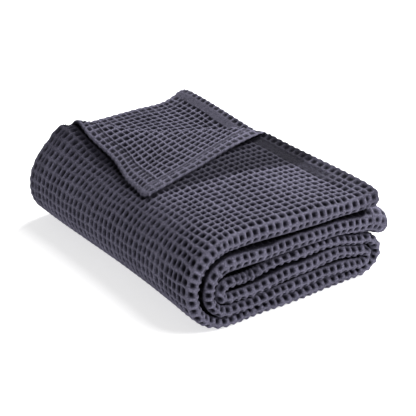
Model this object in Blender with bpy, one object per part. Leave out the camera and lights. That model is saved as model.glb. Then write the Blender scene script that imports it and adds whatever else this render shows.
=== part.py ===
"""Waffle weave cotton blanket, folded: a 2.29 m square cloth folded in four across its width and then six times along
its length, with the top corner turned back. One cloth with its turned hems, so one closed solid.

Metres, +Z up. Y runs along the fold's long side (the folded edges at -Y, the hems at +Y) and X across the six bands.
"""

import bpy
import numpy as np

COLOUR, ROUGHNESS = (0.105, 0.098, 0.128), 0.92
CLOTH = 0.0044  # thickness of one layer of the cloth, pressed
FRONT = -0.286  # Y of the folded edges at the near end
GAPS = (0.24, 0.38, 0.38)  # how a band's slack is shared between its four layers, from the outer face

# The six bands, top to bottom as they lie, seen from the near end. Columns: X, then the bottom and top of each band.
COLUMNS = ("x", "top_b", "top_t", "second_b", "second_t", "third_b", "third_t",
           "fourth_b", "fourth_t", "fifth_b", "fifth_t", "base_b", "base_t")
BANDS = np.array([
    (-0.110, 0.1375, 0.1700, 0.0980, 0.1370, 0.0705, 0.0900, 0.0420, 0.0615, 0.0195, 0.0410, 0.0, 0.0190),
    (-0.055, 0.1365, 0.1720, 0.0975, 0.1360, 0.0635, 0.0875, 0.0390, 0.0630, 0.0195, 0.0385, 0.0, 0.0190),
    (0.000, 0.1335, 0.1720, 0.0985, 0.1330, 0.0760, 0.0975, 0.0425, 0.0750, 0.0195, 0.0420, 0.0, 0.0190),
    (0.060, 0.1325, 0.1705, 0.0995, 0.1320, 0.0780, 0.0990, 0.0470, 0.0775, 0.0200, 0.0465, 0.0, 0.0195),
    (0.120, 0.1325, 0.1685, 0.0970, 0.1320, 0.0775, 0.0965, 0.0510, 0.0770, 0.0235, 0.0505, 0.0, 0.0230),
    (0.175, 0.1330, 0.1660, 0.0840, 0.1325, 0.0645, 0.0835, 0.0450, 0.0640, 0.0195, 0.0385, 0.0, 0.0190),
    (0.205, 0.1300, 0.1610, 0.0770, 0.1290, 0.0645, 0.0835, 0.0450, 0.0640, 0.0195, 0.0385, 0.0, 0.0190),
    (0.227, 0.1290, 0.1590, 0.0700, 0.1140, 0.0645, 0.0835, 0.0450, 0.0640, 0.0195, 0.0385, 0.0, 0.0190),
])

# The cloth's path through the bands. A run goes along its band between two X; a turn goes round from one band to the
# next one, standing `reach` past the join, with `half` its half thickness at the middle of the turn. A run's
# sections lie closer at its start where it has a `spread` over 1.
PATH = (
    {"band": "top", "from": 0.198, "to": -0.110, "sections": 11, "spread": 1.5},
    {"reach": -0.0755, "half": 0.0120, "sections": 7},
    {"band": "base", "from": -0.110, "to": 0.175, "sections": 3},
    {"reach": 0.040, "half": 0.0095, "sections": 5},
    {"band": "third", "from": 0.175, "to": -0.110, "sections": 4},
    {"reach": -0.018, "half": 0.0095, "sections": 4},
    {"band": "fourth", "from": -0.110, "to": 0.175, "sections": 4},
    {"reach": 0.0155, "half": 0.0095, "sections": 4},
    {"band": "fifth", "from": 0.175, "to": -0.110, "sections": 4},
    {"reach": -0.0415, "half": 0.0115, "sections": 5},
    {"band": "second", "from": -0.110, "to": 0.227, "sections": 5},
)

# Where the folds and hems lie along Y at stations of the path (0 is the cloth's free end on top, 11 the end below it).
# Columns: station, near fold, outer hem, inner hem, far fold.
ENDS = np.array([
    (0.0, 0.000, 0.318, 0.298, 0.276),
    (1.0, 0.001, 0.198, 0.242, 0.238),
    (1.5, 0.000, 0.223, 0.230, 0.236),
    (2.0, 0.003, 0.236, 0.228, 0.241),
    (3.5, 0.006, 0.232, 0.224, 0.238),
    (4.5, 0.005, 0.240, 0.233, 0.244),
    (5.5, 0.003, 0.234, 0.228, 0.240),
    (6.5, 0.003, 0.238, 0.229, 0.243),
    (7.5, 0.002, 0.233, 0.226, 0.238),
    (8.5, 0.002, 0.238, 0.232, 0.243),
    (9.5, 0.000, 0.232, 0.227, 0.238),
    (11.0, 0.002, 0.246, 0.238, 0.252),
])

# The corner turned back on top: it leaves the top at `START`, along a crease at `CREASE` degrees, round a cone.
START = np.array((0.1815, 0.0255))
CREASE = np.radians(27.6)
CREASE_LENGTH = 0.350
BOW = 0.020  # how far the middle of the crease stands towards the near end
ROLL_NEAR, ROLL_FAR = 0.0065, 0.0065  # radius of the roll at the two ends of the crease
LEAN = np.radians(22.8)  # how far the turned corner is pulled round towards the near end
LIE = 0.0080  # the turned corner's height over the top once it lies down
SETTLE = 0.17  # how far from the crease that is
HUMP = 0.0185  # how far the top layer stands up at the crease's far end, over the left round
SHOULDER = 0.013  # how far it stands out where it goes over into the left round
CORNER_LIFT = 0.009  # how far the corner of the layer beneath stands up

# The free end on top curls: its edge stands over a shallow trough. `CURL` times these, by the distance from the edge.
CURL = 0.0095
CURL_AT = np.array((0.0, 0.0075, 0.01725, 0.039, 0.0675, 0.120, 0.165))
CURL_BY = np.array((0.0, -0.35, -0.72, -1.0, -0.78, -0.24, 0.0))
END_RISE = 0.006  # how far the free end's edge rises towards its near corner
WAIST = 0.0075  # how far the left round is drawn in halfway along the fold
CORNER_IN = 0.012  # how far the outer layer's corner at the free end is drawn in


def hermite(x, xs, ys):
    """Smooth curve through the points (xs, ys), level at both ends."""
    slopes = np.zeros(len(xs))
    slopes[1:-1] = (ys[2:] - ys[:-2]) / (xs[2:] - xs[:-2])
    x = np.clip(x, xs[0], xs[-1])
    i = np.clip(np.searchsorted(xs, x, side="right") - 1, 0, len(xs) - 2)
    w = xs[i + 1] - xs[i]
    f = (x - xs[i]) / w
    return (ys[i] * (1 + 2 * f) * (1 - f) ** 2 + ys[i + 1] * f * f * (3 - 2 * f)
            + w * f * (1 - f) * (slopes[i] * (1 - f) - slopes[i + 1] * f))


def band_at(name, x):
    """Middle height and half thickness of a band at x."""
    low = hermite(x, BANDS[:, 0], BANDS[:, COLUMNS.index(name + "_b")])
    high = hermite(x, BANDS[:, 0], BANDS[:, COLUMNS.index(name + "_t")])
    return (low + high) / 2, (high - low) / 2


def path_point(q):
    """(x, z, half thickness) of the stack's middle line at the stations q."""
    q = np.atleast_1d(np.asarray(q, float))
    x, z, half = (np.zeros(len(q)) for _ in range(3))
    for k, piece in enumerate(PATH):
        here = (q >= k) & ((q < k + 1) | (k == len(PATH) - 1))
        f = q[here] - k
        if "band" in piece:
            x[here] = piece["from"] + f * (piece["to"] - piece["from"])
            z[here], half[here] = band_at(piece["band"], x[here])
            continue
        before, after = PATH[k - 1], PATH[k + 1]
        z0, h0 = band_at(before["band"], before["to"])
        z1, h1 = band_at(after["band"], after["from"])
        x[here] = before["to"] + piece["reach"] * np.sin(np.pi * f)
        z[here] = (z0 + z1) / 2 + (z0 - z1) / 2 * np.cos(np.pi * f)
        half[here] = (h0 + (h1 - h0) * f * f * (3 - 2 * f)
                      + (piece["half"] - (h0 + h1) / 2) * np.sin(np.pi * f) ** 2)
    return x, z, half


def path_frame(q):
    """(x, z, half thickness, normal x, normal z), the normal pointing to the cloth's outer face."""
    step = 1e-4
    x, z, half = path_point(q)
    xa, za, _ = path_point(np.clip(q - step, 0, 11))
    xb, zb, _ = path_point(np.clip(q + step, 0, 11))
    size = np.hypot(xb - xa, zb - za)
    return x, z, half, (zb - za) / size, -(xb - xa) / size


def roll_radius(along):
    """Radius of the crease's roll, `along` metres from its start."""
    return ROLL_NEAR + (ROLL_FAR - ROLL_NEAR) * np.clip(along / CREASE_LENGTH, 0, 1) ** 2.5


def bow(along):
    """How far the crease stands from its straight line there."""
    return BOW * np.sin(np.pi * np.clip(along / CREASE_LENGTH, 0, 1))


def smooth(x, start, end):
    """0 before start, 1 past end, and a soft step between."""
    f = np.clip((x - start) / (end - start), 0, 1)
    return f * f * (3 - 2 * f)


def hill(x, middle, half):
    """A soft hump of height 1 at middle that dies out half away on both sides."""
    return 0.5 + 0.5 * np.cos(np.pi * np.clip((x - middle) / half, -1, 1))


def hump(q, x, y):
    """How far the top layer stands off the one beneath it, at station q and (x, y)."""
    tent = HUMP * smooth(-x, 0.0, 0.120) * (1 - smooth(q, 1.10, 1.52)) * smooth(y, 0.02, 0.185)
    return tent + SHOULDER * hill(q, 1.09, 0.14) * smooth(y, 0.06, 0.20)


def end_curl(x, y):
    """How far the free end on top stands over its band, at x on each point of a section across its width."""
    if x > 0.2:
        return np.zeros(len(y))
    layers = np.concatenate([np.ones(12), np.linspace(1, 0, 7)[1:-1], np.zeros(2), np.linspace(0, 0.4, 4)[1:-1],
                             np.full(2, 0.4), np.linspace(0.4, 0.8, 4)[1:-1], 0.8 - 0.6 * smooth(y[-3:], 0.05, 0.17)])
    trough = hermite(np.array([0.198 - x]), CURL_AT, CURL_BY)[0]
    outer = np.where(np.arange(len(y)) < 17, layers, 0)
    rise = END_RISE * (1 - smooth(0.198 - x, 0.0, 0.045)) * smooth(-y, 0.0, 0.24) * outer
    return CURL * trough * layers * (0.55 + 0.45 * smooth(y, -0.28, -0.16)) + rise


def draw_in(q, y):
    """How far the left round and the outer layer's corner at the free end are drawn in there, along X."""
    outer_layer = np.arange(len(y)) < 12
    return (WAIST * hill(y, -0.09, 0.30) * smooth(q, 1.15, 1.5) * (1 - smooth(q, 2.0, 2.3))
            - CORNER_IN * smooth(y, 0.20, 0.33) * (1 - smooth(q, 0.0, 0.5)) * outer_layer)


def turn_back(points, across, top_z):
    """Turns the corner of the top layer back over the crease. `across` is each point's height over its layer's middle."""
    u = np.array((-np.cos(CREASE), np.sin(CREASE)))
    v = np.array((np.sin(CREASE), np.cos(CREASE)))
    lean = np.array((-np.sin(CREASE + LEAN), -np.cos(CREASE + LEAN)))
    flat = points[:, :2] - START
    along = flat @ u
    past = flat @ v + bow(along)
    radius = roll_radius(along)
    angle = np.clip(past / radius, 0, np.pi)
    beyond = np.maximum(past - np.pi * radius, 0)
    foot = START + along[:, None] * u - bow(along)[:, None] * v
    there = foot + ((radius - across) * np.sin(angle))[:, None] * v + beyond[:, None] * lean
    f = np.clip(beyond / SETTLE, 0, 1)
    fall = (1 - f) ** 2 * (1 + 2 * f)
    lie = LIE + (2 * radius - LIE) * fall
    rise = np.where(beyond > 0, lie - across, radius - (radius - across) * np.cos(angle))
    rise = rise + hump(1.0, foot[:, 0], foot[:, 1]) * fall
    turned = past > 0
    out = points.copy()
    out[turned, :2] = there[turned]
    out[turned, 2] = (top_z(there[:, 0]) + rise)[turned]
    return out


def strip(near, outer, inner, far, half, split, roll):
    """The cloth across its width, as (y, offset) points and the unit normals there: outer layer from its hem to the near
    fold, back to the far fold, forward to the inner near fold, and out to the inner hem."""
    slack = 2 * half - 4 * CLOTH
    levels = half - CLOTH / 2 - np.array((0, 1, 2, 3)) * CLOTH - slack * np.cumsum((0, *GAPS))
    fold = half - CLOTH / 2 + 0.0008
    y_fold = FRONT + near + CLOTH / 2 + fold
    ys, offs, ny, no = [], [], [], []

    def line(values, level, side):
        for y in values:
            ys.append(y), offs.append(level), ny.append(0.0), no.append(side)

    def turn(y, reach, top, bottom, count, side):
        for a in np.linspace(0, np.pi, count + 2)[1:-1]:
            rise = (top - bottom) / 2
            n = np.array((np.sin(a) / abs(reach), np.cos(a) / abs(rise)))
            n /= np.hypot(*n)
            ys.append(y + reach * np.sin(a)), offs.append((top + bottom) / 2 + rise * np.cos(a))
            ny.append(np.sign(reach) * n[0] * side), no.append(np.sign(rise) * n[1] * side)

    first = np.concatenate([outer - (outer - split - roll) * np.array((0, 0.42, 0.8)),
                            split + roll * np.array((1.0, 0.75, 0.5, 0.25, 0.0)),
                            y_fold + (split - y_fold) * np.array((0.9, 0.6, 0.3, 0.0))])
    line(first, levels[0], 1.0)
    turn(y_fold, -fold, levels[0], levels[3], 5, 1.0)
    line((y_fold, far), levels[3], -1.0)
    turn(far, (levels[2] - levels[3]) / 2, levels[3], levels[2], 2, 1.0)
    line((far, y_fold + 0.004), levels[2], 1.0)
    turn(y_fold + 0.004, (levels[2] - levels[1]) / 2, levels[2], levels[1], 2, -1.0)
    line((y_fold + 0.004, (y_fold + inner) / 2, inner), levels[1], -1.0)
    return np.array(ys), np.array(offs), np.array(ny), np.array(no), levels[0]


def top_height(x):
    """Height of the middle of the top layer at x, down over the round at the left."""
    q = np.linspace(0, 1.5, 400)
    px, pz, half, nx, nz = path_frame(q)
    mx, mz = px + nx * (half - CLOTH / 2), pz + nz * (half - CLOTH / 2)
    return np.interp(x, mx[::-1], mz[::-1])


def blanket():
    """The whole cloth: sections across its width at stations along the path, in both faces."""
    stations = np.concatenate([k + (np.arange(piece["sections"]) / piece["sections"]) ** piece.get("spread", 1.0)
                               for k, piece in enumerate(PATH)] + [[11.0]])
    x, z, half, nx, nz = path_frame(stations)
    near, outer, inner, far = (hermite(stations, ENDS[:, 0], ENDS[:, c]) for c in (1, 2, 3, 4))
    straight = stations <= 1.0
    on_top = np.clip(1 - (stations - 1.12) / 0.38, 0, 1)
    slant = 0.198 + 0.397 * (x + 0.110) - 0.012 * hill(x, 0.015, 0.095) + 0.004 * smooth(x, 0.13, 0.198)
    outer = np.where(straight, slant, outer)
    inner = np.where(straight, np.interp(x, (-0.110, -0.050, 0.006, 0.057, 0.100, 0.130, 0.155, 0.178, 0.200),
                                         (0.242, 0.2475, 0.252, 0.257, 0.259, 0.262, 0.270, 0.283, 0.298)), inner)
    crease_x = np.clip((START[0] - x) / np.cos(CREASE), 0, CREASE_LENGTH)
    crossing = START[1] + (START[0] - x) * np.tan(CREASE) - bow(crease_x) / np.cos(CREASE)
    plain = FRONT + 0.62 * (outer - FRONT)
    split = np.where(on_top > 0, on_top * np.minimum(crossing, outer - 0.012) + (1 - on_top) * plain, plain)
    roll = np.minimum(np.where(on_top > 0, np.pi * roll_radius(crease_x) / np.cos(CREASE), 0.08), 0.7 * (outer - split))
    faces_of = []
    for side in (0.5, -0.5):
        rows = []
        for i, q in enumerate(stations):
            ys, offs, ny, no, level = strip(near[i], outer[i], inner[i], far[i], half[i], split[i], roll[i])
            y, off = ys + ny * side * CLOTH, offs + no * side * CLOTH
            top, beneath = slice(0, 12), slice(-3, None)
            across = off[top] - level
            off[top] += hump(q, x[i], y[top])
            if q <= 1.0:
                off += end_curl(x[i], y)
            points = np.stack([x[i] + nx[i] * off + draw_in(q, y), y, z[i] + nz[i] * off], -1)
            if q <= 1.2:
                points[top] = turn_back(points[top], across, top_height)
                points[beneath, 2] += CORNER_LIFT * smooth(x[i], 0.10, 0.19) * smooth(y[beneath], 0.02, 0.25)
            rows.append(points)
        faces_of.append(np.array(rows))
    return solid(faces_of[0], faces_of[1])


def solid(upper, lower):
    """Closes the two faces of the sheet, each an array of sections by points, into one mesh that stands on the origin."""
    n, m = upper.shape[:2]
    points = np.concatenate([upper.reshape(-1, 3), lower.reshape(-1, 3)])
    a = np.arange(n * m).reshape(n, m)
    b = a + n * m
    quads = [np.stack([g[:-1, :-1], g[1:, :-1], g[1:, 1:], g[:-1, 1:]], -1).reshape(-1, 4) for g in (a, b[:, ::-1])]
    for e, f in ((a[:, 0], b[:, 0]), (b[:, -1], a[:, -1])):
        quads.append(np.stack([e[:-1], f[:-1], f[1:], e[1:]], -1))
    for e, f in ((b[0], a[0]), (a[-1], b[-1])):
        quads.append(np.stack([e[:-1], f[:-1], f[1:], e[1:]], -1))
    quads = np.concatenate(quads)
    tris = np.concatenate([quads[:, :3], quads[:, [0, 2, 3]]])
    if np.linalg.det(points[tris]).sum() < 0:
        tris = tris[:, ::-1]
    low, high = points.min(axis=0), points.max(axis=0)
    return points - ((low[0] + high[0]) / 2, (low[1] + high[1]) / 2, low[2]), tris


def cotton(name):
    """The blanket's dark slate cotton."""
    material = bpy.data.materials.new(name)
    material.use_nodes = True
    shader = material.node_tree.nodes["Principled BSDF"]
    shader.inputs["Base Color"].default_value = (*COLOUR, 1.0)
    shader.inputs["Roughness"].default_value = ROUGHNESS
    shader.inputs["Metallic"].default_value = 0.0
    return material


def add(name, points, faces, material):
    """One smooth shaded mesh object of this name."""
    mesh = bpy.data.meshes.new(name)
    mesh.from_pydata(points.tolist(), [], faces.tolist())
    mesh.materials.append(material)
    mesh.shade_smooth()
    mesh.set_sharp_from_angle(angle=np.radians(50))
    bpy.context.scene.collection.objects.link(bpy.data.objects.new(name, mesh))


for old in list(bpy.data.objects):
    bpy.data.objects.remove(old)
add("blanket", *blanket(), cotton("slate_cotton"))
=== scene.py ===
"""Looks of the folded waffle weave cotton blanket.

One square cloth of dark slate cotton, folded in four across its width and in six bands along its
length, with the top corner turned back. The cloth is one smooth surface of two parameters, measured
in waffle cells: `u` runs along the length from the free end on top, and `v` runs across the width
from the outer hem to the inner one. Panels of that surface carry the weave's ridges and hollows, the
hems and their stitching.

Metres, +Z up. Y runs along the fold's long side (folded edges at -Y, hems at +Y), X across the bands.
"""

from __future__ import annotations

import logging
import math
from dataclasses import dataclass, field
from enum import Enum
from typing import Optional, Sequence

import bpy
import numpy as np
from mathutils import Matrix
from numpy.typing import NDArray


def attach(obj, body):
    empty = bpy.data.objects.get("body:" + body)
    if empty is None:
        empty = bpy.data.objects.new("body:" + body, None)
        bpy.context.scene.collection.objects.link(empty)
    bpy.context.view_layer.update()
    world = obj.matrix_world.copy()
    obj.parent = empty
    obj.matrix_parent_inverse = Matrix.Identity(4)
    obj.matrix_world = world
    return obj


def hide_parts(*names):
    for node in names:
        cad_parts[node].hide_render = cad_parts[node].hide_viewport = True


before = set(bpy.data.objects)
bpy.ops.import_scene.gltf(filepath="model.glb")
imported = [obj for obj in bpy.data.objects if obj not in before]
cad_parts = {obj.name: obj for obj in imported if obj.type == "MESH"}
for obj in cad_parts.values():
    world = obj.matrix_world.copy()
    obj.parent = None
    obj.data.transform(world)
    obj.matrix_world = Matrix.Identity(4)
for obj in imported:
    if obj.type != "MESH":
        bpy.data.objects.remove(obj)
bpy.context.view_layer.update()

Array = NDArray[np.float64]
log = logging.getLogger("blanket")

CENTRE = np.array((0.0156, 0.0026, 0.0))  # the middle of the folded blanket, in the fold's own layout


class Side(Enum):
    """The two sides of the cloth, by the way their relief points along the cloth's normal."""

    FACE = 1.0
    BACK = -1.0


def smooth(x: Array, start: float, end: float) -> Array:
    """A soft step: 0 before start, 1 past end, and 3f^2 - 2f^3 between.

    Args:
        x: Where it is read.
        start: Where the step begins.
        end: Where it is done; it may lie before start.

    Returns:
        The step's height at each x.
    """
    f = np.clip((np.asarray(x, float) - start) / (end - start), 0.0, 1.0)
    return f * f * (3.0 - 2.0 * f)


def hill(x: Array, middle: float, half: float) -> Array:
    """A soft hump of height 1 at middle that dies out half away on both sides (a raised cosine)."""
    away = np.clip((np.asarray(x, float) - middle) / half, -1.0, 1.0)
    return 0.5 + 0.5 * np.cos(np.pi * away)


def hermite(x: Array, xs: Array, ys: Array) -> Array:
    """Smooth curve through points, level at both ends: cubic pieces with centred slopes.

    Args:
        x: Where it is read.
        xs: The points' places, rising.
        ys: The points' heights.

    Returns:
        The curve's height at each x.
    """
    slopes = np.zeros(len(xs))
    slopes[1:-1] = (ys[2:] - ys[:-2]) / (xs[2:] - xs[:-2])
    x = np.clip(x, xs[0], xs[-1])
    i = np.clip(np.searchsorted(xs, x, side="right") - 1, 0, len(xs) - 2)
    w = xs[i + 1] - xs[i]
    f = (x - xs[i]) / w
    return (
        ys[i] * (1 + 2 * f) * (1 - f) ** 2
        + ys[i + 1] * f * f * (3 - 2 * f)
        + w * f * (1 - f) * (slopes[i] * (1 - f) - slopes[i + 1] * f)
    )


def ripple(u: Array, v: Array, seed: float) -> Array:
    """Slow uneven waves over the cloth, from about -1 to 1.

    It is a sum of five sines of u and v with unlike wavelengths, two of them bent by a further sine.

    Args:
        u: Cells along the length.
        v: Cells across the width.
        seed: Shifts every sine's phase, so that each use has waves of its own.

    Returns:
        The waves' height at each point.
    """
    a = np.sin(0.31 * u + 1.7 * np.sin(0.17 * v + seed) + 2.0 * seed)
    b = np.sin(0.23 * v - 0.11 * u + 1.3 * np.sin(0.13 * u + 3.1 * seed))
    c = np.sin(0.53 * u + 0.37 * v + 4.7 * seed)
    d = np.sin(0.71 * v - 0.43 * u + 1.9 * seed)
    e = np.sin(0.97 * u - 0.83 * v + 2.9 * seed)
    return 0.30 * a + 0.28 * b + 0.18 * c + 0.14 * d + 0.10 * e


def chance(u: Array, v: Array, seed: float) -> Array:
    """A fixed random number from 0 to 1 for each waffle cell.

    It is the fraction that is left of a large sine of the cell's place, with factors that share no period.

    Args:
        u: Cells along the length.
        v: Cells across the width.
        seed: Makes each use differ.

    Returns:
        The number at each point.
    """
    large = np.sin(np.floor(u) * 12.9898 + np.floor(v) * 78.233 + seed * 37.719) * 43758.5453
    return large - np.floor(large)


@dataclass(frozen=True)
class Run:
    """A straight run of the bands, along the band called `band` from one X to another."""

    band: str
    start: float
    end: float


@dataclass(frozen=True)
class Turn:
    """A turn to the next band, standing `reach` past the join and `half` as thick halfway round."""

    reach: float
    half: float


@dataclass
class Bands:
    """The six bands of the fold as they lie, and the path of the stack's middle line through them.

    Each row holds x and then every band's bottom (_b) and top (_t) there, in metres.
    """

    columns: tuple = ("x", "top_b", "top_t", "second_b", "second_t", "third_b", "third_t",
                      "fourth_b", "fourth_t", "fifth_b", "fifth_t", "base_b", "base_t")
    rows: Array = field(default_factory=lambda: np.array([
        (-0.110, 0.1375, 0.1700, 0.0980, 0.1370, 0.0705, 0.0900, 0.0420, 0.0615, 0.0195, 0.0410, 0.0, 0.0190),
        (-0.055, 0.1365, 0.1720, 0.0975, 0.1360, 0.0635, 0.0875, 0.0390, 0.0630, 0.0195, 0.0385, 0.0, 0.0190),
        (0.000, 0.1335, 0.1720, 0.0985, 0.1330, 0.0760, 0.0975, 0.0425, 0.0750, 0.0195, 0.0420, 0.0, 0.0190),
        (0.060, 0.1325, 0.1705, 0.0995, 0.1320, 0.0780, 0.0990, 0.0470, 0.0775, 0.0200, 0.0465, 0.0, 0.0195),
        (0.120, 0.1325, 0.1685, 0.0970, 0.1320, 0.0775, 0.0965, 0.0510, 0.0770, 0.0235, 0.0505, 0.0, 0.0230),
        (0.175, 0.1330, 0.1660, 0.0840, 0.1325, 0.0645, 0.0835, 0.0450, 0.0640, 0.0195, 0.0385, 0.0, 0.0190),
        (0.205, 0.1300, 0.1610, 0.0770, 0.1290, 0.0645, 0.0835, 0.0450, 0.0640, 0.0195, 0.0385, 0.0, 0.0190),
        (0.227, 0.1290, 0.1590, 0.0700, 0.1140, 0.0645, 0.0835, 0.0450, 0.0640, 0.0195, 0.0385, 0.0, 0.0190),
    ]))
    path: tuple = (
        Run("top", 0.198, -0.110), Turn(-0.0755, 0.0120), Run("base", -0.110, 0.175), Turn(0.040, 0.0095),
        Run("third", 0.175, -0.110), Turn(-0.018, 0.0095), Run("fourth", -0.110, 0.175), Turn(0.0155, 0.0095),
        Run("fifth", 0.175, -0.110), Turn(-0.0415, 0.0115), Run("second", -0.110, 0.227),
    )

    def band(self, name: str, x: Array) -> tuple[Array, Array]:
        """Middle height and half thickness of a band, from smooth curves through its rows.

        Args:
            name: The band's name in `columns`.
            x: Where it is read.

        Returns:
            Middle height and half thickness at each x.
        """
        low = hermite(x, self.rows[:, 0], self.rows[:, self.columns.index(name + "_b")])
        high = hermite(x, self.rows[:, 0], self.rows[:, self.columns.index(name + "_t")])
        return (low + high) / 2, (high - low) / 2

    def middle(self, q: Array) -> tuple[Array, Array, Array]:
        """The stack's middle line.

        A run follows its band. A turn is half an ellipse: x stands off by a sine and z goes from one band's
        middle to the next one's by a cosine, while the half thickness swells to its own value halfway.

        Args:
            q: Stations along the path, 0 at the free end on top and 11 at the free end below it.

        Returns:
            x, z and the half thickness at each station.
        """
        x, z, half = (np.zeros(len(q)) for _ in range(3))
        for k, piece in enumerate(self.path):
            here = (q >= k) & ((q < k + 1) | (k == len(self.path) - 1))
            f = q[here] - k
            if isinstance(piece, Run):
                x[here] = piece.start + f * (piece.end - piece.start)
                z[here], half[here] = self.band(piece.band, x[here])
                continue
            before, after = self.path[k - 1], self.path[k + 1]
            z0, h0 = self.band(before.band, before.end)
            z1, h1 = self.band(after.band, after.start)
            x[here] = before.end + piece.reach * np.sin(np.pi * f)
            z[here] = (z0 + z1) / 2 + (z0 - z1) / 2 * np.cos(np.pi * f)
            half[here] = (
                h0 + (h1 - h0) * f * f * (3 - 2 * f)
                + (piece.half - (h0 + h1) / 2) * np.sin(np.pi * f) ** 2
            )
        return x, z, half

    def frame(self, q: Array) -> tuple[Array, Array, Array, Array, Array]:
        """The stack's middle line and its normal, from the differences between two near stations.

        Args:
            q: Stations along the path.

        Returns:
            x, z, half thickness, normal x and normal z; the normal points to the outer layer.
        """
        step = 1e-4
        x, z, half = self.middle(q)
        xa, za, _ = self.middle(np.clip(q - step, 0, 11))
        xb, zb, _ = self.middle(np.clip(q + step, 0, 11))
        size = np.hypot(xb - xa, zb - za)
        return x, z, half, (zb - za) / size, -(xb - xa) / size


@dataclass
class TurnedCorner:
    """The top layer's far corner, turned back over a crease that runs up to the round at the left.

    The crease starts at `start` and runs at the angle `crease` for `length`, bowed by `bow_size`. The cloth
    goes round it with radius `roll`, leans by `lean` on its way back, and sinks over `settle` metres to lie
    `lie` over the top. Near its start the roll is flattened by the share `start_dip`. The top stands up into
    the crease's far end as a hump, with a shoulder where it goes over into the left round.
    """

    start: tuple = (0.1815, 0.0255)
    crease: float = math.radians(27.6)
    length: float = 0.350
    bow_size: float = 0.020
    roll: float = 0.0065
    lean: float = math.radians(22.8)
    lie: float = 0.0080
    settle: float = 0.17
    start_dip: float = 0.75
    start_span: tuple = (-0.012, 0.050)
    hump_size: float = 0.0185
    hump_x: tuple = (0.0, 0.120)
    hump_y: tuple = (0.02, 0.185)
    hump_ends: tuple = (1.10, 1.52)
    shoulder: float = 0.013
    shoulder_at: tuple = (1.09, 0.14)
    shoulder_y: tuple = (0.06, 0.20)
    # painted shade on the top beside the turned corner's hems
    shade_depth: float = 0.36
    shade_left: float = 0.018
    shade_near: float = 0.006
    shade_fade: float = 0.01
    shade_start: float = 0.03

    def bow(self, along: Array) -> Array:
        """How far the crease stands from its straight line there, towards the near end: half a sine."""
        return self.bow_size * np.sin(np.pi * np.clip(along / self.length, 0, 1))

    def hump(self, q: Array, x: Array, y: Array) -> Array:
        """How far the top layer stands off the one beneath it.

        The hump is a product of soft steps along x, y and the path, and the shoulder is a hill along the
        path times a soft step along y.

        Args:
            q: Stations along the path.
            x: X of the points.
            y: Y of the points.

        Returns:
            The height at each point.
        """
        tent = self.hump_size * smooth(-x, *self.hump_x) * (1 - smooth(q, *self.hump_ends))
        shoulder = self.shoulder * hill(q, *self.shoulder_at) * smooth(y, *self.shoulder_y)
        return tent * smooth(y, *self.hump_y) + shoulder

    def shade(self, points: Array, tip: Array) -> Array:
        """Painted shade on the top beside the turned corner: a share that is dark close under its two hems, 1
        away from them.

        Each hem is a straight line from its end of the crease to the corner's tip, and what lies outside
        it darkens with the nearness to that line.

        Args:
            points: Points of the top, (..., 3).
            tip: Where the turned corner's two hems meet, (x, y).

        Returns:
            The share from 0 to 1.
        """
        start = np.array(self.start)
        far = start + self.length * np.array((-np.cos(self.crease), np.sin(self.crease)))
        open_share = np.ones(points.shape[:-1])
        for end, other, reach in ((far, start, self.shade_left), (start, far, self.shade_near)):
            along = tip - end
            size = np.hypot(*along)
            along = along / size
            across = np.array((-along[1], along[0]))
            across = across * -np.sign((other - end) @ across)
            flat = points[..., :2] - end
            away, there = flat @ across, flat @ along
            fade = self.shade_fade
            beside = smooth(there, -fade, self.shade_start) * (1 - smooth(there, size - fade, size + fade))
            open_share = open_share * (1 - self.shade_depth * (1 - smooth(away, 0.0, reach)) * beside)
        return open_share

    def turn(self, points: Array, across: Array, ground: tuple[Array, Array]) -> Array:
        """Turns what lies past the crease back over the top.

        A point is measured along the crease and past it. It goes round a roll of the crease's radius, then
        lies back along a line that leans towards the near end, and sinks softly from the roll to the top.

        Args:
            points: The layer before it is turned, (..., 3).
            across: Each point's height over its layer's middle.
            ground: The top's heights as a table, x rising and z.

        Returns:
            The points, with those past the crease turned.
        """
        u = np.array((-np.cos(self.crease), np.sin(self.crease)))
        v = np.array((np.sin(self.crease), np.cos(self.crease)))
        lean = np.array((-np.sin(self.crease + self.lean), -np.cos(self.crease + self.lean)))
        flat = points[..., :2] - np.array(self.start)
        along = flat @ u
        past = flat @ v + self.bow(along)
        radius = self.roll
        angle = np.clip(past / radius, 0, np.pi)
        beyond = np.maximum(past - np.pi * radius, 0)
        foot = np.array(self.start) + along[..., None] * u - self.bow(along)[..., None] * v
        there = foot + ((radius - across) * np.sin(angle))[..., None] * v + beyond[..., None] * lean
        f = np.clip(beyond / self.settle, 0, 1)
        fall = (1 - f) ** 2 * (1 + 2 * f)
        lie = self.lie + (2 * radius - self.lie) * fall
        rise = np.where(beyond > 0, lie - across, radius - (radius - across) * np.cos(angle))
        rise = rise + self.hump(np.ones_like(rise), foot[..., 0], foot[..., 1]) * fall
        rise = rise * (1 - self.start_dip * (1 - smooth(along, *self.start_span)))
        height = np.interp(there[..., 0], *ground) + rise
        turned = (past > 0)[..., None]
        return np.where(turned, np.concatenate([there, height[..., None]], -1), points)


@dataclass(frozen=True)
class Hem:
    """A turned hem seen from one side of the cloth, measured in cells from the edge.

    `rows` is where the open cells at the edge end, `plain` where the smooth stripe ends, `seam` the line of
    stitching, and `level` the stripe's height on the scale from a hollow, 0, to a ridge, 1.
    """

    rows: float
    plain: float
    seam: float
    level: float


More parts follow.
